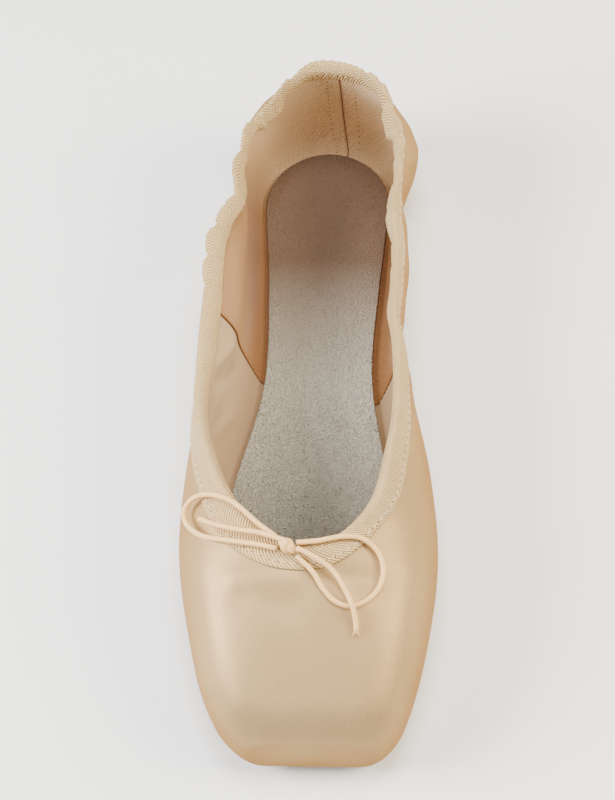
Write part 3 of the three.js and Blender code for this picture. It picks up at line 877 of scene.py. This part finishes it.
def tube(path, radii, sides=CORD_SIDES, closed=False):
    """Points, faces and UVs of a round tube along a path, its frame carried without twist."""
    if closed:
        tangents = unit(np.roll(path, -1, axis=0) - np.roll(path, 1, axis=0))
    else:
        tangents = unit(np.gradient(path, axis=0))
    across = np.zeros_like(path)
    across[0] = unit(np.cross(tangents[0], np.eye(3)[np.argmin(np.abs(tangents[0]))]))
    for i in range(1, len(path)):
        across[i] = unit(across[i - 1] - tangents[i] * (across[i - 1] @ tangents[i]))
    upward = np.cross(across, tangents)
    share = np.arange(sides) / sides
    turns = 2 * np.pi * share[:, None]
    ring = np.cos(turns) * across[:, None] + np.sin(turns) * upward[:, None]
    points = path[:, None] + ring * np.broadcast_to(radii, len(path))[:, None, None]
    index = numbered(len(path), sides)
    faces = ring_quads(looped(index) if closed else index).tolist()
    if not closed:
        faces += [index[0].tolist(), index[-1, ::-1].tolist()]
    uvs = np.stack(np.broadcast_arrays(way_along(path)[:, None], share), axis=-1)
    return points.reshape(-1, 3), faces, uvs.reshape(-1, 2)


def joined(parts):
    """Several points, faces and UVs as one."""
    points, faces, uvs = [], [], []
    start = 0
    for part_points, part_faces, part_uvs in parts:
        points.append(part_points)
        uvs.append(part_uvs)
        faces += [[start + corner for corner in face] for face in part_faces]
        start += len(part_points)
    return np.concatenate(points), faces, np.concatenate(uvs)


def cord_radii(path, taper_end):
    """The cord's radius along a path, rounded off over its last bit where the end is free."""
    way = way_along(path)
    left = np.clip((way[-1] - way) / CORD_END["reach"], 0, 1)
    rounded = CORD_END["least"] + (1 - CORD_END["least"]) * np.sqrt(1 - (1 - left) ** 2)
    return CORD / 2 * (rounded if taper_end else np.ones_like(way))


def fray(path):
    """Loose fibres at the cut end of a cord."""
    rng = np.random.default_rng(FRAY["seed"])
    ahead = unit(path[-1] - path[-4])
    aside = unit(np.cross(ahead, (0.0, 0.0, 1.0)))
    upward = np.cross(aside, ahead)
    steps = np.linspace(0, 1, FRAY["points"])[:, None]
    parts = []
    for i in range(FRAY["fibres"]):
        turn = 2 * math.pi * i / FRAY["fibres"]
        spread = aside * math.cos(turn) + upward * FRAY["flat"] * math.sin(turn)
        start = path[-1] - ahead * FRAY["back"] + spread * FRAY["aside"]
        reach = rng.uniform(*FRAY["reach"])
        bend = rng.uniform(*FRAY["bend"])
        fibre = start + reach * (steps * ahead + bend * steps**2 * spread)
        lowest = over_vamp(np.append(fibre[:, :2], 0 * steps, axis=1))[:, 2] + FRAY["lift"]
        fibre[:, 2] = np.maximum(fibre[:, 2], lowest)
        parts.append(tube(fibre, np.linspace(*FRAY["radii"], FRAY["points"]), FRAY["sides"]))
    return joined(parts)


def knot_parts(centre):
    """Turns of the cord round the crossing."""
    lean = math.radians(90 + KNOT["turn"])
    axis = np.array([-math.sin(lean), math.cos(lean), 0])
    aside = np.array([math.cos(lean), math.sin(lean), 0])
    turns = np.linspace(0, 2 * np.pi, KNOT_STEPS, endpoint=False)[:, None]
    for offset, radius, thick in KNOT_COILS:
        round_it = np.cos(turns) * aside + np.sin(turns) * (0, 0, 1)
        path = centre + axis * (offset + KNOT_SLANT * np.sin(turns)) + radius * round_it
        yield tube(path, thick, closed=True)


def make_bow():
    cord = cord_material()
    centre = over_vamp([(KNOT["across"], KNOT["along"], KNOT["lift"])])[0]
    knot = new_object("bow_knot", *joined(knot_parts(centre)), [cord])
    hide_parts("drawstring_knot")
    for node, route in BOW.items():
        free = "tail" in node
        path = smooth_path(over_vamp(np.array(route) * MM))
        piece = new_object(node.replace("drawstring", "bow"), *tube(path, cord_radii(path, free)), [cord])
        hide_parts(node)
        ends = [knot] if node == "drawstring_loop_left" else []
        if node == "drawstring_tail_right":
            frayed = new_object("bow_fray", *fray(path), [cord])
            ends.append(frayed)
        place(path[0])
        place(path)


# Upper

EDGE_STEPS = 10
FLAT_ROWS = 10
CORNER_ROWS = 18
SIDE_ROWS = 46
FACE_RINGS = 14
FACE_BULGE = 0.0007
WELD_REACH = 1e-6
# Places of the materials on the upper
SATIN = 0
TWILL = 1
PLAIN = 2
UPPER_RUNS = chain(
    spaced(EDGE, UNDER_FRONT, 34), spaced(UNDER_FRONT, THROAT, 22, 1.4),
    spaced(THROAT, THROAT_END, 150, 1.5), spaced(THROAT_END, HEEL_AT, 150),
    spaced(HEEL_AT, RUN_END, 52),
)


def layer_runs(start):
    """Runs of one layer: the platform's edge turns in a quarter circle from its start."""
    turns = np.linspace(0, math.pi / 2, EDGE_STEPS + 1)
    return chain(start + (EDGE - start) * (1 - np.cos(turns)), UPPER_RUNS)


def row_angles(run, inset):
    """Angles of each section's rows: over the flat bottom, round its corner, up to the collar or crown."""
    section = sections_at(run)
    low = under_angle(run)
    bend = -np.arctan2(section.widest - section.floor - inset, section.foot)
    flat = low[:, None] + (bend - low)[:, None] * np.linspace(0, 1, FLAT_ROWS + 1)[:-1]
    corner = bend[:, None] * (1 - np.linspace(0, 1, CORNER_ROWS + 1)[:-1])
    side = collar_angle(run)[:, None] * np.linspace(0, 1, SIDE_ROWS + 1)
    return np.concatenate([flat, corner, side], axis=1)


def make_upper():
    points, quads, uvs, kinds, tips = [], [], [], [], []
    total = 0
    layers = {}
    for inside in (False, True):
        for side in (LEFT, RIGHT):
            run = layer_runs(float(sections_at(0).wall) * inside)
            inset = sections_at(run).wall * inside
            angle = row_angles(run, inset)
            run = run[:, None] + 0 * angle
            grid = creased(run, angle, side, inset[:, None], SEAM_DEPTH if inside else -SEAM_DEPTH)
            index = numbered(*angle.shape, total)
            total += index.size
            layers[inside, side] = index
            points.append(grid.reshape(-1, 3))
            around = side * (math.pi / 2 - angle) * HALF_BALL
            uvs.append(np.stack([around, run], axis=-1).reshape(-1, 2))
            faces = grid_quads(index)
            quads.append(faces[:, ::-1] if (side == LEFT) != inside else faces)
            past = run - seam_run(SIDE_SEAMS[side], angle, run)
            behind = (past[:-1, :-1] + past[1:, 1:]).ravel() > 0
            kinds.append(np.where(behind, TWILL, PLAIN) if inside else np.full(len(faces), SATIN))
    points = np.concatenate(points)
    uvs = np.concatenate(uvs)
    for inside in (False, True):
        rim = chain(layers[inside, LEFT][0], layers[inside, RIGHT][0][-2:0:-1])
        share = np.linspace(1, 0, FACE_RINGS + 1)[1:-1, None, None]
        middle = points[rim].mean(axis=0)
        rings = middle + (points[rim] - middle) * share
        rings[..., 1] -= FACE_BULGE * (1 - share[..., 0] ** 2) ** 2
        middle_uv = uvs[rim].mean(axis=0)
        ring_uvs = middle_uv + (uvs[rim] - middle_uv) * share
        index = numbered(*rings.shape[:2], len(points))
        top = len(points) + index.size
        points = chain(points, rings.reshape(-1, 3), [middle - (0, FACE_BULGE, 0)])
        uvs = chain(uvs, ring_uvs.reshape(-1, 2), [middle_uv])
        faces = ring_quads(chain(rim[None], index))
        quads.append(faces[:, ::-1] if inside else faces)
        kinds.append(np.full(len(faces), PLAIN if inside else SATIN))
        last = index[-1].tolist()
        for here, after in zip(last, last[1:] + last[:1]):
            tips.append([after, top, here] if inside else [here, top, after])
    run = layer_runs(0)
    for row, first, upward in ((-1, THROAT, True), (0, UNDER_FRONT, False)):
        start = int(np.argmin(np.abs(run - first)))
        for side in (LEFT, RIGHT):
            rim = np.stack([layers[inside, side][start:, row] for inside in (False, True)], axis=1)
            faces = grid_quads(rim)
            quads.append(faces[:, ::-1] if (side == LEFT) == upward else faces)
            kinds.append(np.full(len(faces), SATIN))
    materials = [satin_material(), twill_lining_material(), plain_lining_material()]
    kinds.append(np.repeat([SATIN, PLAIN], len(tips) // 2))
    faces = np.concatenate(quads).tolist() + tips
    upper = new_object("satin_upper", points, faces, uvs, materials, np.concatenate(kinds))
    weld(upper)
    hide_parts("upper")


def weld(piece):
    """Joins the points that the two sides share along the crown, the sole and the back."""
    mesh = bmesh.new()
    mesh.from_mesh(piece.data)
    bmesh.ops.remove_doubles(mesh, verts=mesh.verts, dist=WELD_REACH)
    mesh.to_mesh(piece.data)
    mesh.free()


# Binding

TAPE_STEPS = 1600
# Places along the tape from the throat, left positive: how far a swell reaches and how much it adds
LAP_SWELLS = ((0.022, 0.014, 0.36), (-0.022, 0.013, -0.18))
INNER_LAP = {"from": 0.195, "to": 0.228, "share": 0.22}
# Fine ripples across the tape where it is gathered: height, spacing, and how far the spacing wanders
RIPPLE = {"height": 0.00016, "spacing": 0.0023, "wander": 1.6, "every": 0.0135, "end": 0.1}
# Share of a puff that lifts the tape's fold, and how far below the fold the puffs reach
PUFF_RISE = 0.4
PUFF_DEPTH = 0.0036
# Steps of the walk from the collar: their length, and how many go down the wall and up past the edge
SLIDE_STEP = 0.0005
SLIDES = {1: 24, -1: 6}
COLLAR_STEPS = 900
COLLAR_CROWDING = 2.2


def collar_places():
    """Even steps along the collar, from the throat back along the left and home along the right."""
    half = chain(
        [THROAT], spaced(THROAT, THROAT_END, COLLAR_STEPS, COLLAR_CROWDING),
        spaced(THROAT_END, RUN_END, COLLAR_STEPS),
    )
    run = chain(half, half[-2:0:-1])
    side = chain(np.full(len(half), LEFT), np.full(len(half) - 2, RIGHT))
    way = way_along(looped(skin(run, collar_angle(run), side)))
    marks = np.arange(TAPE_STEPS) / TAPE_STEPS * way[-1]
    at_run = np.interp(marks, way, looped(run))
    at_side = np.where(marks <= way[len(half) - 1], LEFT, RIGHT)
    return at_run, at_side, marks, way[-1]


def slide_places(run, side):
    """Walks from the collar over the surface, square to the edge: the run and angle at each step."""
    angle = collar_angle(run)
    line = skin(run, angle, side)
    along = np.roll(line, -1, axis=0) - np.roll(line, 1, axis=0)
    nudge = 1e-6
    tracks = {0: (run, angle)}

    def dot(first, second):
        return (first * second).sum(-1)

    for direction, count in SLIDES.items():
        here_run, here_angle = run, angle
        for step in range(1, count + 1):
            point = skin(here_run, here_angle, side)
            by_run = (skin(here_run + nudge, here_angle, side) - point) / nudge
            by_angle = (skin(here_run, here_angle + nudge, side) - point) / nudge
            normal = np.cross(by_run, by_angle) * -side[:, None]
            away = unit(np.cross(along, normal)) * SLIDE_STEP * direction
            rr, ra, aa = dot(by_run, by_run), dot(by_run, by_angle), dot(by_angle, by_angle)
            to_run, to_angle = dot(away, by_run), dot(away, by_angle)
            det = rr * aa - ra * ra
            here_run = here_run + (to_run * aa - to_angle * ra) / det
            here_angle = here_angle + (to_angle * rr - to_run * ra) / det
            tracks[step * direction] = (here_run, here_angle)
    steps = sorted(tracks)
    runs, angles = np.array([tracks[step] for step in steps]).transpose(1, 0, 2)
    return np.array(steps) * SLIDE_STEP, runs, angles


def at_lap(track, lap):
    """Run and angle of each place at its lap below the edge."""
    laps, runs, angles = track
    places = np.arange(runs.shape[1])
    lap = np.broadcast_to(lap, places.shape)
    i = np.clip(np.searchsorted(laps, lap) - 1, 0, len(laps) - 2)
    t = (lap - laps[i]) / (laps[i + 1] - laps[i])
    at_run = runs[i, places] + (runs[i + 1, places] - runs[i, places]) * t
    at_angle = angles[i, places] + (angles[i + 1, places] - angles[i, places]) * t
    return at_run, at_angle


def lap_share(marks, total):
    """The outer lap's width along the tape, as a share of its usual width."""
    from_throat = np.where(marks > total / 2, marks - total, marks)
    share = np.ones_like(marks)
    for at, reach, extra in LAP_SWELLS:
        share += extra * np.exp(-(((from_throat - at) / reach) ** 2))
    return share


def inner_share(run):
    """The inner lap's width, as a share of its width at the back of the heel."""
    return INNER_LAP["share"] + (1 - INNER_LAP["share"]) * eased(run, INNER_LAP["from"], INNER_LAP["to"])


def tape_ripples(marks, total):
    """Fine ripples that run across the tape round the heel and die out along the quarters."""
    wander = RIPPLE["wander"] * np.sin(2 * np.pi * marks / RIPPLE["every"])
    wave = np.sin(2 * np.pi * marks / RIPPLE["spacing"] + wander)
    fade = np.clip(1 - np.abs(marks - total / 2) / RIPPLE["end"], 0, 1) ** 0.5
    return RIPPLE["height"] * wave * fade


def make_binding():
    run, side, marks, total = collar_places()
    track = slide_places(run, side)
    wall = sections_at(run).wall
    share = lap_share(marks, total)
    inner = inner_share(run)
    out, inward, pinched = tape_puffs(run, side)
    ripple = tape_ripples(marks, total)
    rings = []
    for lap, face, lift in BINDING:
        near = math.exp(-((lap / PUFF_DEPTH) ** 2))
        wide = lap * {"out": share, "mid": 1, "in": inner}[face] if lap > 0 else lap
        rise = PUFF_RISE * (out + inward) / 2 - PINCH_DEPTH * pinched
        at_run, at_angle = at_lap(track, wide - near * rise)
        off = lift - near * min(lift, PINCH_DEPTH) * pinched
        depth = {
            "out": -off - near * (out + ripple), "mid": wall / 2 + near * ((inward - out) / 2 - ripple),
            "in": wall + off + near * (inward - ripple),
        }[face]
        rings.append(creased(at_run, at_angle, side, depth))
    grid = np.stack(rings, axis=1)
    steps = np.linalg.norm(np.diff(grid, axis=1), axis=-1).mean(axis=0)
    across = chain([0], np.cumsum(steps))
    across = across - across[SPINE_ROW]
    count, rows = grid.shape[:2]
    faces = ring_quads(looped(numbered(count, rows)))
    uvs = np.stack(np.broadcast_arrays(marks[:, None], across), axis=-1).reshape(-1, 2)
    piece = new_object("binding_tape", grid.reshape(-1, 3), faces, uvs, [tape_material()])
    close_seam(piece, rows, total)
    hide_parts("binding")
    make_stitches(track, side, share)


def close_seam(piece, rows, total):
    """Gives the last strip of the tape its full length in the UVs, where it meets the first."""
    layer = piece.data.uv_layers[0]
    uv = np.empty(len(layer.data) * 2, np.float32)
    layer.data.foreach_get("uv", uv)
    uv = uv.reshape(-1, 2)
    last = uv[-rows * 4 :]
    last[last[:, 0] < total / 2, 0] += total
    layer.data.foreach_set("uv", uv.ravel())


# Stitches along the tape's outer edge

STITCH_LAP = 0.0049
STITCH_PITCH = 0.0029
STITCH_LENGTH = 0.0021
STITCH_RADIUS = 0.0002
STITCH_RISE = 0.00005
STITCH_AHEAD = 0.0004
HOLE_RADIUS = 0.00024
HOLE_SUNK = 0.00012
TAPE_LIFT = 0.00092
NORMAL_STEP = 0.0005


def bead(centre, along, normal, half_long, radius, rings=5, sides=8):
    """A long bead: points, faces and empty UVs of a stretched ball lying on the surface."""
    turn = np.linspace(0, np.pi, rings + 2)[1:-1, None, None]
    spin = 2 * np.pi * np.arange(sides)[:, None] / sides
    around = np.cos(spin) * np.cross(normal, along) + np.sin(spin) * normal
    tip = along * half_long
    body = centre - tip * np.cos(turn) + radius * np.sin(turn) * around
    points = chain([centre - tip], body.reshape(-1, 3), [centre + tip])
    index = numbered(rings, sides, 1)
    faces = ring_quads(index).tolist()
    for k in range(sides):
        after = (k + 1) % sides
        faces.append([0, index[0, after], index[0, k]])
        faces.append([len(points) - 1, index[-1, k], index[-1, after]])
    return points, faces, np.zeros((len(points), 2))


def make_stitches(track, side, share):
    spots = at_lap(track, STITCH_LAP * share)
    line = creased(*spots, side, -TAPE_LIFT)
    normals = looped(unit(line - creased(*spots, side, NORMAL_STEP - TAPE_LIFT)))
    line = looped(line)
    way = way_along(line)
    count = round(way[-1] / STITCH_PITCH)
    middles = np.arange(count) * way[-1] / count

    def at(marks):
        marks = marks % way[-1]
        return points_along(line, way, marks), unit(points_along(normals, way, marks))

    ahead = unit(at(middles + STITCH_AHEAD)[0] - at(middles - STITCH_AHEAD)[0])
    stitches = [
        bead(point + normal * STITCH_RISE, along, normal, STITCH_LENGTH / 2, STITCH_RADIUS)
        for point, normal, along in zip(*at(middles), ahead)
    ]
    # Dark sunk beads between the stitches: painted shade of the needle holes
    holes = [
        bead(point - normal * HOLE_SUNK, along, normal, HOLE_RADIUS, HOLE_RADIUS)
        for point, normal, along in zip(*at(middles + STITCH_PITCH / 2), ahead)
    ]
    thread = new_object("binding_stitches", *joined(stitches), [thread_material()])
    pricks = new_object("binding_needle_holes", *joined(holes), [needle_hole_material()])


# Seams inside: a dark line of painted shade where the linings meet, and rows of needle pricks beside the
# back seam

SIDE_SEAM_RADIUS = 0.0003
BACK_SEAM_RADIUS = 0.00018
PRICK_AWAY = (-0.0050, 0.0048)
PRICK_PITCH = 0.0023
PRICK_RADIUS = 0.00022
PRICK_RINGS = 3
PRICK_SIDES = 6
SEAM_TOP_LAP = 0.07
SEAM_SUNK = 0.0001
SEAM_ROUNDS = 12
SEAM_POINTS = 60
SEAM_SIDES = 8
SEAM_LOW = math.radians(-40)


def seam_path(side, seam, aside=0.0):
    """Points down the lining along a seam, or beside it, from under the tape to the insole."""
    top = float(collar_angle(seam["top"])) - SEAM_TOP_LAP
    angle = np.linspace(top, SEAM_LOW, SEAM_POINTS)
    run = np.full(SEAM_POINTS, (seam["top"] + seam["bottom"]) / 2)
    for _ in range(SEAM_ROUNDS):
        run = seam_run(seam, angle, run)
    run = run + aside
    return creased(run, angle, side, sections_at(run).wall, 0 if aside else SEAM_SUNK)


def make_seams():
    pricks = []
    lines = [tube(seam_path(side, seam), SIDE_SEAM_RADIUS, SEAM_SIDES) for side, seam in SIDE_SEAMS.items()]
    lines.append(tube(seam_path(RIGHT, BACK_SEAM), BACK_SEAM_RADIUS, SEAM_SIDES))
    for aside in PRICK_AWAY:
        marks = smooth_path(seam_path(RIGHT, BACK_SEAM, aside), PRICK_PITCH)
        for point, ahead in zip(marks, unit(np.gradient(marks, axis=0))):
            outward = unit(np.cross(ahead, (1.0, 0.0, 0.0)))
            size = (PRICK_RADIUS, PRICK_RADIUS, PRICK_RINGS, PRICK_SIDES)
            pricks.append(bead(point, ahead, outward, *size))
    material = needle_hole_material()
    for name, parts in (("lining_seams", lines), ("lining_needle_holes", pricks)):
        piece = new_object(name, *joined(parts), [material])


# Insole and sole

SLAB_STEPS = 150
SLAB_COLUMNS = 22
END_STEPS = 14
EDGE_TURNS = 5
END_START = 4


def slab(front, back, front_round, back_round, half, low, high, edge):
    """Points, faces and UVs of a flat piece along the foot with round ends and rounded edges."""
    turns = np.radians(np.linspace(END_START, 90, END_STEPS))
    run = chain(
        front + front_round * (1 - np.cos(turns)),
        np.linspace(front + front_round, back - back_round, SLAB_STEPS)[1:-1],
        back - back_round * (1 - np.cos(turns[::-1])),
    )
    share = chain(np.sin(turns), np.ones(SLAB_STEPS - 2), np.sin(turns[::-1]))
    flat = half(run) * share - edge
    bottom = low(run)
    top = high(run)
    sway = sections_at(run).sway
    columns = np.linspace(-1, 1, SLAB_COLUMNS)
    curve = np.linspace(0, np.pi / 2, EDGE_TURNS)
    bends = [(edge * math.sin(turn), edge - edge * math.cos(turn)) for turn in curve]
    ring = [(column * flat, top) for column in columns]
    ring += [(flat + out, top - up) for out, up in bends[1:]]
    ring += [(flat + out, bottom + up) for out, up in bends[::-1]]
    ring += [(column * flat, bottom) for column in columns[::-1][1:]]
    ring += [(-flat - out, bottom + up) for out, up in bends[1:]]
    ring += [(-flat - out, top - up) for out, up in bends[:0:-1]]
    points = np.stack([np.stack([sway + x, run, z + 0 * x], axis=-1) for x, z in ring], axis=1)
    index = numbered(*points.shape[:2])
    faces = ring_quads(index).tolist() + [index[0].tolist(), index[-1, ::-1].tolist()]
    points = points.reshape(-1, 3)
    return points, faces, points[:, :2]


def make_insole():
    heel_half = float(sections_at(HEEL_AT).insole)

    def seat(run):
        return floor_at(run) + sections_at(run).wall + GAP

    parts = slab(
        INSOLE_FRONT, HEEL_AT + heel_half, INSOLE_ROUND, heel_half,
        lambda run: sections_at(np.minimum(run, HEEL_AT)).insole,
        seat, lambda run: seat(run) + INSOLE_THICK, INSOLE_EDGE,
    )
    piece = new_object("insole_board", *parts, [board_material()])
    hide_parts("insole")


def make_outsole():
    parts = slab(
        SOLE_FRONT, SOLE_BACK, SOLE_ROUND, SOLE_ROUND,
        lambda run: sections_at(np.minimum(run, HEEL_AT)).foot - SOLE_MARGIN,
        lambda run: floor_at(run) - SEAT, lambda run: floor_at(run) - GAP, SOLE_EDGE,
    )
    piece = new_object("leather_sole", *parts, [leather_material()])
    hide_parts("outsole")


make_camera()
make_studio()
make_bow()
make_upper()
make_binding()
make_seams()
make_insole()
make_outsole()

bpy.context.view_layer.update()
